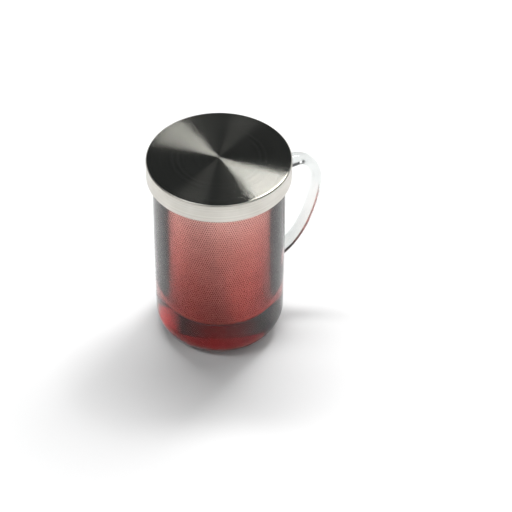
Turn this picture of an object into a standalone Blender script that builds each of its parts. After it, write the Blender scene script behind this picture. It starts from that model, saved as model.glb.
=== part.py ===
"""A lidded glass tea mug: a clear glass body with a fused glass handle, a steel strainer hung
from its rim, red herbal tea up to just under the rim, and a steel cap that fits over it all.

Metres, +Z up. The mug's axis is Z, it stands on z = 0, and the handle points along +X.
"""

import math

import bmesh
import bpy

# Driving dimensions of the glass.
body_radius = 0.0400
glass_wall = 0.0020
glass_height = 0.1290
heel_radius = 0.0160
base_thickness = 0.0040

# The handle: a glass rod, slightly oval, fused to the body at both ends.
handle_thickness = 0.0066
handle_width = 0.0086
handle_top_root = 0.1125
handle_low_root = 0.0415
handle_reach = 0.0660

# The strainer: a deep cup of thin steel that tapers downwards, with a flat flange that rests
# on the glass rim. Its radius is that of the wall just under the flange.
strainer_radius = 0.0360
strainer_taper = math.radians(5)
strainer_sheet = 0.0007
strainer_depth = 0.1085
strainer_corner = 0.0040
strainer_throat = 0.0012
flange_radius = 0.0421

# The lid: a drawn steel cap whose skirt hangs outside the glass.
lid_radius = 0.0435
lid_sheet = 0.0008
lid_skirt = 0.0125
lid_dome = 0.0008
lid_edge_round = 0.0014

# The tea stands hidden behind the skirt, a little way under the rim.
tea_level = 0.1215

# Neighbouring pieces keep this gap, and every turned piece has the same number of sides.
gap = 0.0003
sides = 64

# The centres of the strainer's two rounds, at its bottom corner and under its flange, placed
# so that one straight tapered wall runs off both.
flange_low = glass_height + gap
strainer_bottom = flange_low + strainer_sheet - strainer_depth
neck_r = strainer_radius + strainer_throat
neck_z = flange_low - strainer_throat
corner_z = strainer_bottom + strainer_corner
taper_in = (neck_z - corner_z) * math.tan(strainer_taper)
corner_r = neck_r - taper_in - (strainer_corner + strainer_throat) / math.cos(strainer_taper)


def arc(centre_r, centre_z, radius, start, end, steps):
    """Points on an arc in the (radius, height) plane, angles in degrees from outward."""
    points = []
    for step in range(steps + 1):
        angle = math.radians(start + (end - start) * step / steps)
        points.append((centre_r + radius * math.cos(angle), centre_z + radius * math.sin(angle)))
    return points


def turned(name, profile):
    """A closed solid spun about Z from a profile that starts and ends on the axis."""
    bm = bmesh.new()
    corners = [bm.verts.new((radius, 0, height)) for radius, height in profile]
    edges = [bm.edges.new(pair) for pair in zip(corners, corners[1:])]
    bmesh.ops.spin(
        bm, geom=corners + edges, axis=(0, 0, 1), cent=(0, 0, 0), angle=2 * math.pi, steps=sides, use_merge=True
    )
    bmesh.ops.remove_doubles(bm, verts=bm.verts, dist=0.00001)
    bmesh.ops.recalc_face_normals(bm, faces=bm.faces)
    return finished(name, bm)


def finished(name, bm):
    mesh = bpy.data.meshes.new(name)
    bm.to_mesh(mesh)
    bm.free()
    mesh.shade_smooth()
    mesh.set_sharp_from_angle(angle=math.radians(35))
    piece = bpy.data.objects.new(name, mesh)
    bpy.context.collection.objects.link(piece)
    return piece


def painted(piece, colour, roughness, metallic=0.0, transmission=0.0):
    material = bpy.data.materials.new(piece.name)
    material.use_nodes = True
    shader = material.node_tree.nodes["Principled BSDF"]
    shader.inputs["Base Color"].default_value = (*colour, 1)
    shader.inputs["Roughness"].default_value = roughness
    shader.inputs["Metallic"].default_value = metallic
    shader.inputs["Transmission Weight"].default_value = transmission
    piece.data.materials.append(material)


def glass_profile():
    """Up the outside from the centre of the base, over the round rim and down the inside."""
    heel = arc(body_radius - heel_radius, heel_radius, heel_radius, -90, 0, 9)
    rim = arc(body_radius - glass_wall / 2, glass_height - glass_wall / 2, glass_wall / 2, 0, 180, 4)
    inner_heel_radius = heel_radius - glass_wall
    inner_centre = body_radius - heel_radius
    inner_heel = arc(inner_centre, base_thickness + inner_heel_radius, inner_heel_radius, 0, -90, 7)
    return [(0, 0), *heel, *rim, *inner_heel, (0, base_thickness)]


def handle_rod():
    """The handle's rod as a mesh, its ends cut flat inside the wall of the glass."""
    inside = body_radius - 0.006
    route = [
        (inside, handle_top_root, 1.50),
        (body_radius + 0.001, handle_top_root, 1.32),
        (0.0550, handle_top_root - 0.0010, 1.05),
        (handle_reach - 0.0030, 0.1035, 1.00),
        (handle_reach, 0.0920, 1.00),
        (handle_reach - 0.0020, 0.0780, 1.00),
        (0.0585, 0.0620, 0.98),
        (0.0505, handle_low_root + 0.0080, 1.00),
        (body_radius + 0.001, handle_low_root + 0.0015, 1.25),
        (inside, handle_low_root - 0.0010, 1.40),
    ]
    curve = bpy.data.curves.new("handle_route", "CURVE")
    curve.dimensions = "3D"
    curve.resolution_u = 4
    curve.bevel_depth = handle_thickness / 2
    curve.bevel_resolution = 5
    spline = curve.splines.new("BEZIER")
    spline.bezier_points.add(len(route) - 1)
    for point, (reach, height, swell) in zip(spline.bezier_points, route):
        point.co = (reach, 0, height)
        point.handle_left_type = point.handle_right_type = "AUTO"
        point.radius = swell
    guide = bpy.data.objects.new("handle_route", curve)
    bpy.context.collection.objects.link(guide)
    depsgraph = bpy.context.evaluated_depsgraph_get()
    bm = bmesh.new()
    bm.from_mesh(bpy.data.meshes.new_from_object(guide.evaluated_get(depsgraph)))
    bpy.data.objects.remove(guide)
    bmesh.ops.scale(bm, vec=(1, handle_width / handle_thickness, 1), verts=bm.verts)
    bmesh.ops.remove_doubles(bm, verts=bm.verts, dist=0.00001)
    cut = body_radius - 0.55 * glass_wall
    everything = bm.verts[:] + bm.edges[:] + bm.faces[:]
    bmesh.ops.bisect_plane(bm, geom=everything, plane_co=(cut, 0, 0), plane_no=(1, 0, 0), clear_inner=True)
    bmesh.ops.holes_fill(bm, edges=[edge for edge in bm.edges if edge.is_boundary])
    bmesh.ops.recalc_face_normals(bm, faces=bm.faces)
    return finished("handle_rod", bm)


def lid_profile():
    """Over the dome from its centre, round the edge, down the skirt and back underneath."""
    shoulder = lid_radius - lid_edge_round
    plate_top = glass_height + 2 * gap + strainer_sheet + lid_sheet
    skirt_end = plate_top - lid_skirt
    outside = [(shoulder * part / 5, plate_top + lid_dome * (1 - (part / 5) ** 2)) for part in range(5)]
    outside += arc(shoulder, plate_top - lid_edge_round, lid_edge_round, 90, 0, 4)
    hem = arc(lid_radius - lid_sheet / 2, skirt_end + lid_sheet / 2, lid_sheet / 2, 0, -180, 4)
    inside = arc(shoulder, plate_top - lid_edge_round, lid_edge_round - lid_sheet, 0, 90, 2)
    inside += [(radius, height - lid_sheet) for radius, height in reversed(outside[:5])]
    return outside + hem + inside


def strainer_corner_arc(offset):
    """The bottom corner of the strainer's outer face, offset outwards, from bottom to wall."""
    return arc(corner_r, corner_z, strainer_corner + offset, -90, -math.degrees(strainer_taper), 4)


def strainer_wall_radius(height, offset):
    """Radius of the tapered wall's outer face, offset outwards, at a height."""
    to_face = (strainer_corner + offset) / math.cos(strainer_taper)
    return corner_r + to_face + (height - corner_z) * math.tan(strainer_taper)


def strainer_profile():
    """Out along the bottom, up the wall, round the flange and back down the inside."""
    neck_start = 180 - math.degrees(strainer_taper)
    outside = [(0, strainer_bottom), *strainer_corner_arc(0)]
    outside += arc(neck_r, neck_z, strainer_throat, neck_start, 90, 3)
    half_sheet = strainer_sheet / 2
    edge = arc(flange_radius - half_sheet, flange_low + half_sheet, half_sheet, -90, 90, 3)
    inside = arc(neck_r, neck_z, strainer_throat + strainer_sheet, 90, neck_start, 3)
    inside += [*reversed(strainer_corner_arc(-strainer_sheet)), (0, strainer_bottom + strainer_sheet)]
    return outside + edge + inside


def tea_profile():
    """The tea around and under the strainer, clear of the glass and the steel by the gap."""
    inner_centre = body_radius - heel_radius
    inner_heel_radius = heel_radius - glass_wall
    outside = arc(inner_centre, base_thickness + inner_heel_radius, inner_heel_radius - gap, -90, 0, 6)
    outer_top = (body_radius - glass_wall - gap, tea_level)
    inner_top = (strainer_wall_radius(tea_level, gap), tea_level)
    inside = reversed(strainer_corner_arc(gap))
    return [(0, base_thickness + gap), *outside, outer_top, inner_top, *inside, (0, strainer_bottom - gap)]


def tea_in_strainer_profile():
    """The same tea inside the strainer, whose wall this model leaves whole."""
    inset = strainer_sheet + gap
    top = (strainer_wall_radius(tea_level, -inset), tea_level)
    return [(0, strainer_bottom + inset), *strainer_corner_arc(-inset), top, (0, tea_level)]


def build_glass():
    mug = turned("glass_mug", glass_profile())
    rod = handle_rod()
    rod.hide_render = True
    rod.display_type = "WIRE"
    join = mug.modifiers.new("fused_handle", "BOOLEAN")
    join.operation = "UNION"
    join.solver = "EXACT"
    join.object = rod
    painted(mug, (0.96, 0.97, 0.97), 0.02, transmission=1.0)


def build_steel():
    strainer = turned("steel_strainer", strainer_profile())
    painted(strainer, (0.74, 0.73, 0.71), 0.30, metallic=1.0)
    lid = turned("steel_lid", lid_profile())
    painted(lid, (0.70, 0.69, 0.66), 0.32, metallic=1.0)


def build_tea():
    tea = turned("red_tea", tea_profile())
    painted(tea, (0.45, 0.02, 0.03), 0.05, transmission=0.8)
    tea_in_strainer = turned("tea_in_strainer", tea_in_strainer_profile())
    painted(tea_in_strainer, (0.45, 0.02, 0.03), 0.05, transmission=0.8)


for old in list(bpy.data.objects):
    bpy.data.objects.remove(old)
build_glass()
build_steel()
build_tea()
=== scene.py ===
"""A lidded glass tea mug, seen from above and a little to the left of its handle.

A clear glass body with a glass rod handle holds red herbal tea. A perforated steel strainer
hangs in the tea from a flange on the glass rim, and a spun steel cap closes the top.
"""

import math

import bmesh
import bpy
from mathutils import Matrix, Vector


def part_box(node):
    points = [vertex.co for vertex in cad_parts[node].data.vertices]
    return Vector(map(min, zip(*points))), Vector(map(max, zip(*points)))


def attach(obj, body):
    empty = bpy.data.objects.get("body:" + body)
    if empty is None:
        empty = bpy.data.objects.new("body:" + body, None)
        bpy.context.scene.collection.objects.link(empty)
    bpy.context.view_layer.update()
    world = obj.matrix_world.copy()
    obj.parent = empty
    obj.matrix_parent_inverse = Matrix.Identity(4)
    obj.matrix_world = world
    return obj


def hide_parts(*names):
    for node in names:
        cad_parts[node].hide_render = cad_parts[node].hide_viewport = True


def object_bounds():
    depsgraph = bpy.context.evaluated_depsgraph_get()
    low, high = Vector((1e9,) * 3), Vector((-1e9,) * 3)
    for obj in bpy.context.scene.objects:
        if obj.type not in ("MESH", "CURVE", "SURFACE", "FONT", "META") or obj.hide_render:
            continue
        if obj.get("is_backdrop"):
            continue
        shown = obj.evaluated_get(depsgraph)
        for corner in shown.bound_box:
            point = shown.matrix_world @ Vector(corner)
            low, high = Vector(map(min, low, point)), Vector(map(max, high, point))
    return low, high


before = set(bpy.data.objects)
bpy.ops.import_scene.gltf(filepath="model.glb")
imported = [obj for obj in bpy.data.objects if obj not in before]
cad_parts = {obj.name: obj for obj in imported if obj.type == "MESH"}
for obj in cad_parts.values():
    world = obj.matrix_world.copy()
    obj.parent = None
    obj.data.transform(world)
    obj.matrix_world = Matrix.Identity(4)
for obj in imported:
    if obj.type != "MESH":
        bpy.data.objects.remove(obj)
cad_low, cad_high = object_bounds()

# The camera. It looks down on the lid from about 40 degrees with a long lens, and the handle
# points away to its right, so it stands at a bearing of -25 degrees round the mug.
bearing = math.radians(-25)
height_angle = math.radians(39.69)
camera_distance = 1.166
look_right = math.radians(1.44)
look_down = math.radians(42.56)
tilt = math.radians(0.65)
lens = 138.5
sensor_width = 36


def from_camera(right, back, up):
    """A direction given as the camera sees it, turned into the mug's own frame."""
    return Matrix.Rotation(bearing, 3, "Z") @ Vector((right, back, up))


camera_data = bpy.data.cameras.new("camera")
camera_data.lens = lens
camera_data.sensor_width = sensor_width
camera = bpy.data.objects.new("camera", camera_data)
bpy.context.scene.collection.objects.link(camera)
lid_centre = Vector((0, 0, cad_high.z))
stand_point = lid_centre + camera_distance * from_camera(0, -math.cos(height_angle), math.sin(height_angle))
camera.matrix_world = (
    Matrix.Translation(stand_point)
    @ Matrix.Rotation(bearing - look_right, 4, "Z")
    @ Matrix.Rotation(math.pi / 2 - look_down, 4, "X")
    @ Matrix.Rotation(tilt, 4, "Z")
)
bpy.context.scene.camera = camera
bpy.context.scene.view_settings.view_transform = "Standard"

# The studio: a plain white table, walls that darken upwards to the ceiling, and soft lamps.
# The table lies a hair under the mug, so that the foot mirrors light as it does in air. Every
# shader in the file is put together by the two small classes here.
table_size = 6.0
table_white = (0.86, 0.86, 0.86)
under_the_glass = 0.0001
sharp_angle = math.radians(38)
horizon = (0.50, 0.50, 0.50)
low_wall = (0.40, 0.40, 0.40)
high_wall = (0.028, 0.030, 0.031)
ceiling = (0.013, 0.015, 0.016)
room_by_height = [(0.0, horizon), (0.10, low_wall), (0.32, high_wall), (1.0, ceiling)]


class Mix:
    """A node tree under construction. node() adds any node and feed() fills any socket."""

    def __init__(self, tree):
        self.tree = tree

    def node(self, kind, output, settings=None, inputs=None):
        made = self.tree.nodes.new("ShaderNode" + kind)
        for setting, value in (settings or {}).items():
            if setting == "stops":
                stops = made.color_ramp.elements
                while len(stops) < len(value):
                    stops.new(1.0)
                for stop, (place, colour) in zip(stops, value):
                    stop.position = place
                    stop.color = (*colour, 1)
            else:
                setattr(made, setting, value)
        for socket, value in (inputs or {}).items():
            self.feed(made.inputs[socket], value)
        return Field(self, made.outputs[output])

    def feed(self, socket, value):
        if isinstance(value, Field):
            self.tree.links.new(value.socket, socket)
        elif socket.type == "RGBA":
            socket.default_value = (*value, 1)
        else:
            socket.default_value = value


class Field:
    """One value that varies over a surface. Arithmetic on it adds the Math nodes."""

    def __init__(self, mix, socket):
        self.mix = mix
        self.socket = socket

    def maths(self, operation, *others):
        return self.mix.node("Math", "Value", {"operation": operation}, dict(enumerate((self, *others))))

    def __add__(self, other):
        return self.maths("ADD", other)

    def __sub__(self, other):
        return self.maths("SUBTRACT", other)

    def __rsub__(self, other):
        return self * -1 + other

    def __mul__(self, other):
        return self.maths("MULTIPLY", other)

    def __truediv__(self, other):
        return self.maths("DIVIDE", other)

    def __pow__(self, other):
        return self.maths("POWER", other)

    __radd__ = __add__
    __rmul__ = __mul__


def finish(name, **constants):
    """A Principled material, its constants set on the shader's own sockets."""
    material = bpy.data.materials.new(name)
    material.use_nodes = True
    mix = Mix(material.node_tree)
    mix.material = material
    mix.shader = material.node_tree.nodes["Principled BSDF"]
    for socket, value in constants.items():
        mix.feed(mix.shader.inputs[socket.replace("_", " ")], value)
    return mix


def settle(name, bm, *finishes, body="root"):
    """Turns a bmesh into a smooth piece that rides on a body, or into staging without one."""
    for face in bm.faces:
        face.smooth = True
    for edge in bm.edges:
        edge.smooth = not edge.is_boundary and edge.calc_face_angle(0) < sharp_angle
    mesh = bpy.data.meshes.new(name)
    bm.to_mesh(mesh)
    bm.free()
    for mix in finishes:
        mesh.materials.append(mix.material)
    piece = bpy.data.objects.new(name, mesh)
    bpy.context.scene.collection.objects.link(piece)
    if body:
        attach(piece, body)
    return piece


def softbox(
    name, towards, distance, width, length, power, edge=(0, 0, 1), spread=180, mirrored=True, refracted=True
):
    """A rectangular lamp that faces the mug, its long side as near as it can be to edge.

    Its place and its edge are given as the camera sees them. Light from it always falls on
    surfaces, but its image shows in steel only if mirrored and through glass only if refracted.
    """
    lamp_data = bpy.data.lights.new(name, "AREA")
    lamp_data.shape = "RECTANGLE"
    lamp_data.size = width
    lamp_data.size_y = length
    lamp_data.energy = power
    lamp_data.spread = math.radians(spread)
    lamp = bpy.data.objects.new(name, lamp_data)
    bpy.context.scene.collection.objects.link(lamp)
    back = from_camera(*towards).normalized()
    along = from_camera(*edge)
    along = (along - along.dot(back) * back).normalized()
    across = along.cross(back)
    place = Vector((0, 0, cad_high.z / 2)) + back * distance
    lamp.matrix_world = Matrix((
        (across.x, along.x, back.x, place.x),
        (across.y, along.y, back.y, place.y),
        (across.z, along.z, back.z, place.z),
        (0, 0, 0, 1),
    ))
    lamp.visible_camera = False
    lamp.visible_glossy = mirrored
    lamp.visible_transmission = refracted


table_mesh = bmesh.new()
bmesh.ops.create_grid(table_mesh, x_segments=1, y_segments=1, size=table_size / 2)
bmesh.ops.translate(table_mesh, vec=(0, 0, -under_the_glass), verts=table_mesh.verts)
table_paint = finish("white_table", Base_Color=table_white, Roughness=0.75, Specular_IOR_Level=0.2)
settle("table", table_mesh, table_paint, body=None)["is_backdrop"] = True

world = bpy.data.worlds.new("studio")
bpy.context.scene.world = world
world.use_nodes = True
sky = Mix(world.node_tree)
direction = sky.node("TexCoord", "Generated")
rise = sky.node("SeparateXYZ", "Z", inputs={"Vector": direction})
shade = sky.node("ValToRGB", "Color", {"stops": room_by_height}, {"Fac": rise})
sky.feed(world.node_tree.nodes["Background"].inputs["Color"], shade)

# The strip gives the lid its two bright fans, the fills light the skirt, the top light whitens
# the table, and the two narrow glows redden the foot of the tea.
softbox(
    "strip_right", (0.325, 0.480, 0.815), 1.3, width=0.28, length=0.445, power=4.9,
    edge=(0.549, 0.606, -0.576), refracted=False,
)
softbox("front_fill", (0.35, -0.62, 0.66), 2.2, width=1.6, length=1.6, power=9)
softbox("left_fill", (-0.50, -0.32, 0.80), 2.2, width=0.35, length=1.3, power=11, edge=(0.909, -0.417, 0.40))
softbox(
    "top_light", (0.0, 0.36, 0.93), 1.6, width=0.25, length=1.3, power=21,
    edge=(1, 0, 0), mirrored=False, refracted=False,
)
softbox(
    "tea_glow", (0.0, 0.77, 0.64), 1.5, width=0.9, length=1.3, power=0.14,
    edge=(1, 0, 0), spread=44, mirrored=False,
)
softbox(
    "side_glow", (0.64, 0.42, 0.64), 1.5, width=0.9, length=1.3, power=0.7,
    edge=(0.42, -0.64, 0), spread=44, mirrored=False,
)

# The mug: borosilicate glass, a tube with a rounded heel and a flat thicker base, its rim
# melted round. The handle is a bent glass rod, slightly oval, whose ends swell where they
# are fused to the wall.
mug_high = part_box("glass_mug")[1]
body_radius = mug_high.y
mug_height = mug_high.z
wall = 0.0020
heel = 0.0160
base = 0.0040
mug_sides = 160
inner_radius = body_radius - wall
heel_centre = body_radius - heel
inner_heel_height = base + heel - wall
rim_height = mug_height - wall / 2
tea_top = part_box("red_tea")[1].z
rod_thickness = 0.0066
rod_width = 0.0086
rod_sides = 28
rod_cut = body_radius - 0.55 * wall
reach = mug_high.x - rod_thickness / 2
root_depth = body_radius - 0.006
top_root = 0.1125
low_root = 0.0415
welding_gap = 0.000005
glass_tints = [(0.35, (0.975, 0.985, 0.98)), (0.65, (1.0, 1.0, 1.0))]
rod_tints = [(0.35, (0.75, 0.775, 0.765)), (0.65, (0.84, 0.86, 0.85))]
wave_size = 0.030
wave_depth = 0.00006


def arc(centre_r, centre_z, radius, start, end, steps):
    """Points on an arc in the plane of a turned profile, angles in degrees from outward."""
    angles = [math.radians(start + (end - start) * step / steps) for step in range(steps + 1)]
    return [(centre_r + radius * math.cos(angle), centre_z + radius * math.sin(angle)) for angle in angles]


def line(start, end, steps):
    """Even points on a straight stretch, without its two ends."""
    spans = [(low, high - low) for low, high in zip(start, end)]
    return [tuple(low + span * step / steps for low, span in spans) for step in range(1, steps)]


def turned(profile, sides):
    """Spins a profile in the XZ plane once round Z and closes it."""
    bm = bmesh.new()
    corners = [bm.verts.new((radius, 0, height)) for radius, height in profile]
    edges = [bm.edges.new(pair) for pair in zip(corners, corners[1:])]
    bmesh.ops.spin(
        bm, geom=corners + edges, axis=(0, 0, 1), cent=(0, 0, 0), angle=math.tau, steps=sides, use_merge=True
    )
    bmesh.ops.remove_doubles(bm, verts=bm.verts, dist=welding_gap)
    bmesh.ops.recalc_face_normals(bm, faces=bm.faces)
    return bm


def eased(t, a, b, c, d):
    """The value a share t of the way from b to c, on the smooth cubic that a and d lead on."""
    bend = 2 * a - 5 * b + 4 * c - d
    swing = 3 * b - a - 3 * c + d
    return 0.5 * (2 * b + (c - a) * t + bend * t ** 2 + swing * t ** 3)


def smooth_route(points, steps):
    """A smooth curve through every point, led on at both ends as straight as it began."""
    lead_in = [2 * a - b for a, b in zip(points[0], points[1])]
    lead_out = [2 * a - b for a, b in zip(points[-1], points[-2])]
    guide = [lead_in, *points, lead_out]
    route = []
    for nearby in zip(guide, guide[1:], guide[2:], guide[3:]):
        route += [[eased(step / steps, *values) for values in zip(*nearby)] for step in range(steps)]
    return [*route, points[-1]]


def drawn_rod(route, sides):
    """Extrudes an oval ring along a route of (reach, height, swell) in the XZ plane."""
    bm = bmesh.new()
    ring = bmesh.ops.create_circle(bm, segments=sides, radius=rod_thickness / 2)["verts"]
    bmesh.ops.scale(bm, vec=(1, rod_width / rod_thickness, 1), verts=ring)
    edges = list(bm.edges)
    last = Matrix.Identity(4)
    for index, (out, height, swell) in enumerate(route):
        ahead = route[min(index + 1, len(route) - 1)]
        behind = route[max(index - 1, 0)]
        heading = math.atan2(ahead[0] - behind[0], ahead[1] - behind[1])
        turn = Matrix.Rotation(heading, 4, "Y")
        place = Matrix.Translation((out, 0, height)) @ turn @ Matrix.Scale(swell, 4)
        if index:
            grown = bmesh.ops.extrude_edge_only(bm, edges=edges)["geom"]
            ring = [part for part in grown if isinstance(part, bmesh.types.BMVert)]
            edges = [part for part in grown if isinstance(part, bmesh.types.BMEdge)]
        bmesh.ops.transform(bm, matrix=place @ last.inverted(), verts=ring)
        last = place
    return bm


def cloud(mix, size, detail=3.0):
    """Soft noise from 0 to 1 in the mug's own space, with lumps of about this size in metres."""
    where = mix.node("TexCoord", "Object")
    return mix.node("TexNoise", "Fac", inputs={"Vector": where, "Scale": 1 / size, "Detail": detail})


def tone(mix, film, stops):
    """Colours a surface by a film from 0 to 1, between stops of (value, colour)."""
    colours = mix.node("ValToRGB", "Color", {"stops": stops}, {"Fac": film})
    mix.feed(mix.shader.inputs["Base Color"], colours)


def relief(mix, film, rise):
    """Lets a film from 0 to 1 raise the surface by so many metres."""
    bump = mix.node("Bump", "Normal", inputs={"Height": film, "Strength": 1.0, "Distance": rise})
    mix.feed(mix.shader.inputs["Normal"], bump)


def blown_glass(name, tints, shine):
    """Clear glass with a trace of colour and the long waves of a drawn tube."""
    glass = finish(
        name, Roughness=0.0, IOR=1.47, Transmission_Weight=1.0, Specular_Tint=(shine, shine, shine)
    )
    waves = cloud(glass, wave_size, detail=1.0)
    tone(glass, waves, tints)
    relief(glass, waves, wave_depth)
    return glass


# The wall has no mirror of its own where the tea wets it, because glass and tea bend light
# almost alike. The handle's rod is thicker and a little greyer than the wall.
mug_glass = [
    blown_glass("clear_glass", glass_tints, shine=1.0),
    blown_glass("wet_glass", glass_tints, shine=0.0),
    blown_glass("rod_glass", rod_tints, shine=1.0),
]
mug_profile = [(0, 0), *line((0, 0), (heel_centre, 0), steps=3)]
mug_profile += arc(heel_centre, heel, heel, -90, 0, steps=22)
mug_profile += line((body_radius, heel), (body_radius, rim_height), steps=30)
mug_profile += arc(body_radius - wall / 2, rim_height, wall / 2, 0, 180, steps=12)
mug_profile += [*line((inner_radius, rim_height), (inner_radius, tea_top), steps=2), (inner_radius, tea_top)]
mug_profile += line((inner_radius, tea_top), (inner_radius, inner_heel_height), steps=20)
mug_profile += [*arc(heel_centre, inner_heel_height, heel - wall, 0, -90, steps=20), (0, base)]
mug_mesh = turned(mug_profile, mug_sides)
tea_middle = Vector((0, 0, tea_top / 2))
for face in mug_mesh.faces:
    middle = face.calc_center_median()
    wet = middle.z < tea_top and face.normal.dot(tea_middle - middle) > 0
    face.material_index = int(wet)
mug = settle("glass_mug_clear", mug_mesh, *mug_glass)

rod_route = [
    (root_depth, top_root, 1.50),
    (body_radius + 0.001, top_root, 1.32),
    (0.0550, top_root - 0.0010, 1.05),
    (reach - 0.0030, 0.1035, 1.00),
    (reach, 0.0920, 1.00),
    (reach - 0.0020, 0.0780, 1.00),
    (0.0585, 0.0620, 0.98),
    (0.0505, low_root + 0.0080, 1.00),
    (body_radius + 0.001, low_root + 0.0015, 1.25),
    (root_depth, low_root - 0.0010, 1.40),
]
rod_mesh = drawn_rod(smooth_route(rod_route, steps=8), rod_sides)
bmesh.ops.bisect_plane(
    rod_mesh, geom=rod_mesh.verts[:] + rod_mesh.edges[:] + rod_mesh.faces[:],
    plane_co=(rod_cut, 0, 0), plane_no=(1, 0, 0), clear_inner=True,
)
bmesh.ops.holes_fill(rod_mesh, edges=[edge for edge in rod_mesh.edges if edge.is_boundary])
bmesh.ops.recalc_face_normals(rod_mesh, faces=rod_mesh.faces)
for face in rod_mesh.faces:
    face.material_index = 2
rod = settle("handle_rod", rod_mesh, *mug_glass, body=None)
fuse = mug.modifiers.new("fused_handle", "BOOLEAN")
fuse.operation = "UNION"
fuse.solver = "EXACT"
fuse.object = rod
bpy.context.view_layer.update()
fused = bpy.data.meshes.new_from_object(mug.evaluated_get(bpy.context.evaluated_depsgraph_get()))
mug.modifiers.clear()
mug.data = fused
bpy.data.objects.remove(rod)
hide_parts("glass_mug")

# The tea: a clear deep red infusion that fills the glass to just above the end of the lid's
# skirt, in and around the strainer. It reaches just into the glass, so no air shows between them.
into_wall = 0.00012
tea_radius = inner_radius + into_wall
tea_heel = heel - wall + into_wall
infusion = (0.80, 0.12, 0.02)
infusion_density = 125.0
swirl_size = 0.022
swirl_tints = [(0.30, (0.95, 0.90, 0.89)), (0.62, (1.0, 1.0, 1.0))]

tea_red = finish("red_infusion", Roughness=0.0, IOR=1.33, Transmission_Weight=1.0, Specular_Tint=(0, 0, 0))
tone(tea_red, cloud(tea_red, swirl_size), swirl_tints)
depth = tea_red.node("VolumeAbsorption", "Volume", inputs={"Color": infusion, "Density": infusion_density})
tea_red.feed(tea_red.tree.nodes["Material Output"].inputs["Volume"], depth)
tea_profile = [(0, base - into_wall), *arc(heel_centre, inner_heel_height, tea_heel, -90, 0, steps=16)]
tea_profile += line((tea_radius, base + heel), (tea_radius, tea_top), steps=12)
tea_profile += [(tea_radius, tea_top), (0, tea_top)]
tea = settle("tea_infusion", turned(tea_profile, mug_sides), tea_red)
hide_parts("red_tea", "tea_in_strainer")

# The strainer: a deep cup of thin stainless sheet that narrows by 5 degrees. Its wall is punched
# all over with small upright slots in staggered rows, then rolled and seam welded to a drawn
# bottom and to a flat flange that rests on the glass rim.
strainer_low, strainer_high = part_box("steel_strainer")
flange_radius = strainer_high.x
rim_gap = 0.0003
flange_low = mug_height + rim_gap
flange_sheet = strainer_high.z - flange_low
taper = math.radians(5)
cup_sheet = 0.0005
cup_corner = 0.0040
throat = 0.0012
strainer_radius = 0.0360
neck_r = strainer_radius + throat
neck_z = flange_low - throat
corner_z = strainer_low.z + cup_corner
corner_r = neck_r - (neck_z - corner_z) * math.tan(taper) - (cup_corner + throat) / math.cos(taper)
slots_round = 170
band_rows = 28
plain_foot = 0.0010
plain_top = 0.0005
punched_low = corner_z + plain_foot
punched_high = tea_top + plain_top
slot_width = 0.33
slot_length = 0.62
slot_straight = 0.46
cup_sides = 128
film_size = 0.012
film_tints = [(0.35, (0.93, 0.915, 0.89)), (0.64, (0.98, 0.97, 0.95))]


def wall_radius(height, inset=0.0):
    """Radius of the tapered wall's outer face, or of a face set in from it, at a height."""
    return corner_r + (cup_corner - inset) / math.cos(taper) + (height - corner_z) * math.tan(taper)


def on_wall(turn, height):
    """The point of the wall's outer face at an angle round the axis and at a height."""
    return wall_radius(height) * math.cos(turn), wall_radius(height) * math.sin(turn), height


def punched_wall(low, high):
    """Rolls a grid into a tube, joins its cells in pairs like bricks and punches each brick.

    A brick's slot keeps a share of its width and its length. The corners at the brick's two
    sides keep less of the length, which gives the slot its pointed ends.
    """
    bm = bmesh.new()
    bmesh.ops.create_grid(bm, x_segments=2 * slots_round, y_segments=band_rows, size=1)
    tall = high - low
    row_height = tall / band_rows
    for vert in bm.verts:
        vert.co = on_wall(math.pi * vert.co.x, low + tall * (vert.co.y + 1) / 2)
    bmesh.ops.remove_doubles(bm, verts=bm.verts, dist=welding_gap)
    joints = []
    for edge in bm.edges:
        first, second = (vert.co for vert in edge.verts)
        if abs(first.z - second.z) < row_height / 2:
            continue
        column = round(math.atan2(first.y, first.x) / math.tau * 2 * slots_round)
        row = math.floor(((first.z + second.z) / 2 - low) / row_height)
        if (column + row) % 2:
            joints.append(edge)
    bmesh.ops.dissolve_edges(bm, edges=joints)
    bricks = list(bm.faces)
    bmesh.ops.inset_individual(bm, faces=bricks, thickness=0)
    for slot in bricks:
        middle = slot.calc_center_median()
        half_brick = max((vert.co - middle).to_2d().length for vert in slot.verts)
        for vert in slot.verts:
            offset = vert.co - middle
            at_side = offset.to_2d().length > half_brick / 2
            turn = math.atan2(middle.y + offset.y * slot_width, middle.x + offset.x * slot_width)
            vert.co = on_wall(turn, middle.z + offset.z * (slot_straight if at_side else slot_length))
    bmesh.ops.delete(bm, geom=bricks, context="FACES_ONLY")
    bmesh.ops.recalc_face_normals(bm, faces=bm.faces)
    return bm


def polish(steel, film, tints, rough, spread):
    """Varies steel by a film from 0 to 1: its colour by the tints, its roughness by spread."""
    tone(steel, film, tints)
    steel.feed(steel.shader.inputs["Roughness"], film * spread + rough)


satin_steel = finish("satin_steel", Metallic=1.0)
polish(satin_steel, cloud(satin_steel, film_size), film_tints, rough=0.03, spread=0.06)
middle_height = (punched_low + punched_high) / 2
for half, low, high in (("lower", punched_low, middle_height), ("upper", middle_height, punched_high)):
    wall_piece = settle("strainer_wall_" + half, punched_wall(low, high), satin_steel)
    gauge = wall_piece.modifiers.new("gauge", "SOLIDIFY")
    gauge.thickness = cup_sheet
    gauge.offset = -1
    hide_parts("steel_strainer")

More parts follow.
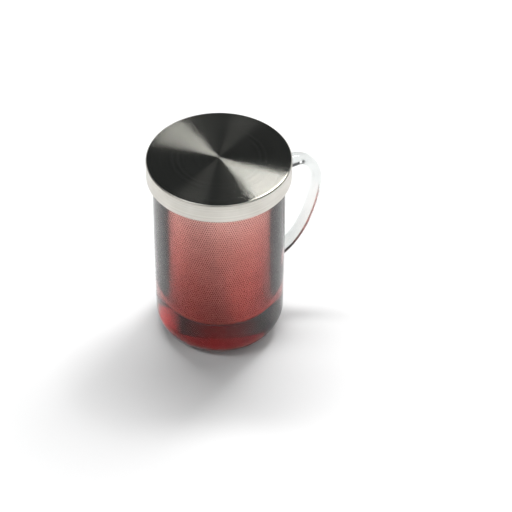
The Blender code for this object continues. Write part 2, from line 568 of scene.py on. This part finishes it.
lean = math.degrees(taper)
bottom_profile = [(0, strainer_low.z), *arc(corner_r, corner_z, cup_corner, -90, -lean, steps=10)]
bottom_profile += [(wall_radius(punched_low, inset), punched_low) for inset in (0, cup_sheet)]
bottom_profile += arc(corner_r, corner_z, cup_corner - cup_sheet, -lean, -90, steps=10)
bottom_profile += [(0, strainer_low.z + cup_sheet)]
bottom = settle("strainer_bottom", turned(bottom_profile, cup_sides), satin_steel)
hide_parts("steel_strainer")

half_flange = flange_sheet / 2
collar_ring = [(wall_radius(punched_high), punched_high)]
collar_ring += arc(neck_r, neck_z, throat, 180 - lean, 90, steps=6)
collar_ring += arc(flange_radius - half_flange, flange_low + half_flange, half_flange, -90, 90, steps=6)
collar_ring += arc(neck_r, neck_z, throat + flange_sheet, 90, 180 - lean, steps=6)
collar_ring += [(wall_radius(punched_high, cup_sheet), punched_high)]
collar = settle("strainer_collar", turned([*collar_ring, collar_ring[0]], mug_sides), satin_steel)
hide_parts("steel_strainer")

# The lid: a cap drawn from stainless sheet, its top very slightly domed and brushed round its
# centre on a lathe, so that light gathers in two opposite fans. The skirt is satin, and so is
# the rounded edge below its first twelfth.
lid_low, lid_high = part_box("steel_lid")
lid_radius = lid_high.x
lid_sheet = 0.0008
lid_dome = 0.0005
lid_edge = 0.0012
lid_sides = 192
spun_edge = 0.08
dome_steps = 12
plate_top = lid_high.z - lid_dome
shoulder = lid_radius - lid_edge
lathe_pitch = 0.0018
lathe_depth = 0.000006
top_smear = 0.018
top_tints = [(0.35, (0.70, 0.685, 0.615)), (0.64, (0.86, 0.845, 0.77))]
skirt_pitch = 0.0010
skirt_depth = 0.000008
skirt_smear = 0.020
skirt_tints = [(0.35, (0.58, 0.56, 0.51)), (0.64, (0.73, 0.71, 0.66))]


def dome(drop):
    """The top's shallow crown from its centre to the shoulder, lowered by the sheet or not."""
    shares = [step / dome_steps for step in range(dome_steps + 1)]
    return [(shoulder * share, plate_top - drop + lid_dome * (1 - share ** 2)) for share in shares]


def surface_place(mix):
    """The x, y and z of a surface's points in the mug's own space."""
    where = mix.node("TexCoord", "Object")
    split = mix.node("SeparateXYZ", "X", inputs={"Vector": where}).socket.node
    return [Field(mix, socket) for socket in split.outputs]


def turning_marks(steel, along, pitch):
    """Fine lines left by the lathe: noise from 0 to 1 that varies only along one measure."""
    return steel.node(
        "TexNoise", "Fac", {"noise_dimensions": "1D"}, {"W": along / pitch, "Scale": 1.0, "Detail": 3.0}
    )


spun_steel = finish("spun_steel", Metallic=1.0, Anisotropic=1.0, Anisotropic_Rotation=0.25)
across, back, _ = surface_place(spun_steel)
marks = turning_marks(spun_steel, (across ** 2 + back ** 2) ** 0.5, lathe_pitch)
film = cloud(spun_steel, top_smear) * 0.5 + marks * 0.5
polish(spun_steel, film, top_tints, rough=0.18, spread=0.04)
relief(spun_steel, marks, lathe_depth)
skirt_steel = finish("skirt_steel", Metallic=1.0)
marks = turning_marks(skirt_steel, surface_place(skirt_steel)[2], skirt_pitch)
film = cloud(skirt_steel, skirt_smear) * 0.6 + marks * 0.4
polish(skirt_steel, film, skirt_tints, rough=0.33, spread=0.10)
relief(skirt_steel, marks, skirt_depth)

lid_profile = [*dome(0)[:-1], *arc(shoulder, plate_top - lid_edge, lid_edge, 90, 0, steps=10)]
lid_profile += arc(lid_radius - lid_sheet / 2, lid_low.z + lid_sheet / 2, lid_sheet / 2, 0, -180, steps=8)
lid_profile += arc(shoulder, plate_top - lid_edge, lid_edge - lid_sheet, 0, 90, steps=6)
lid_profile += dome(lid_sheet)[-2::-1]
lid_mesh = turned(lid_profile, lid_sides)
for face in lid_mesh.faces:
    face.material_index = int(face.calc_center_median().z < plate_top - lid_edge * spun_edge)
lid = settle("spun_lid", lid_mesh, spun_steel, skirt_steel)
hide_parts("steel_lid")

# The box round the finished mug, found as the box of the imported solids was after the import.
low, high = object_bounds()
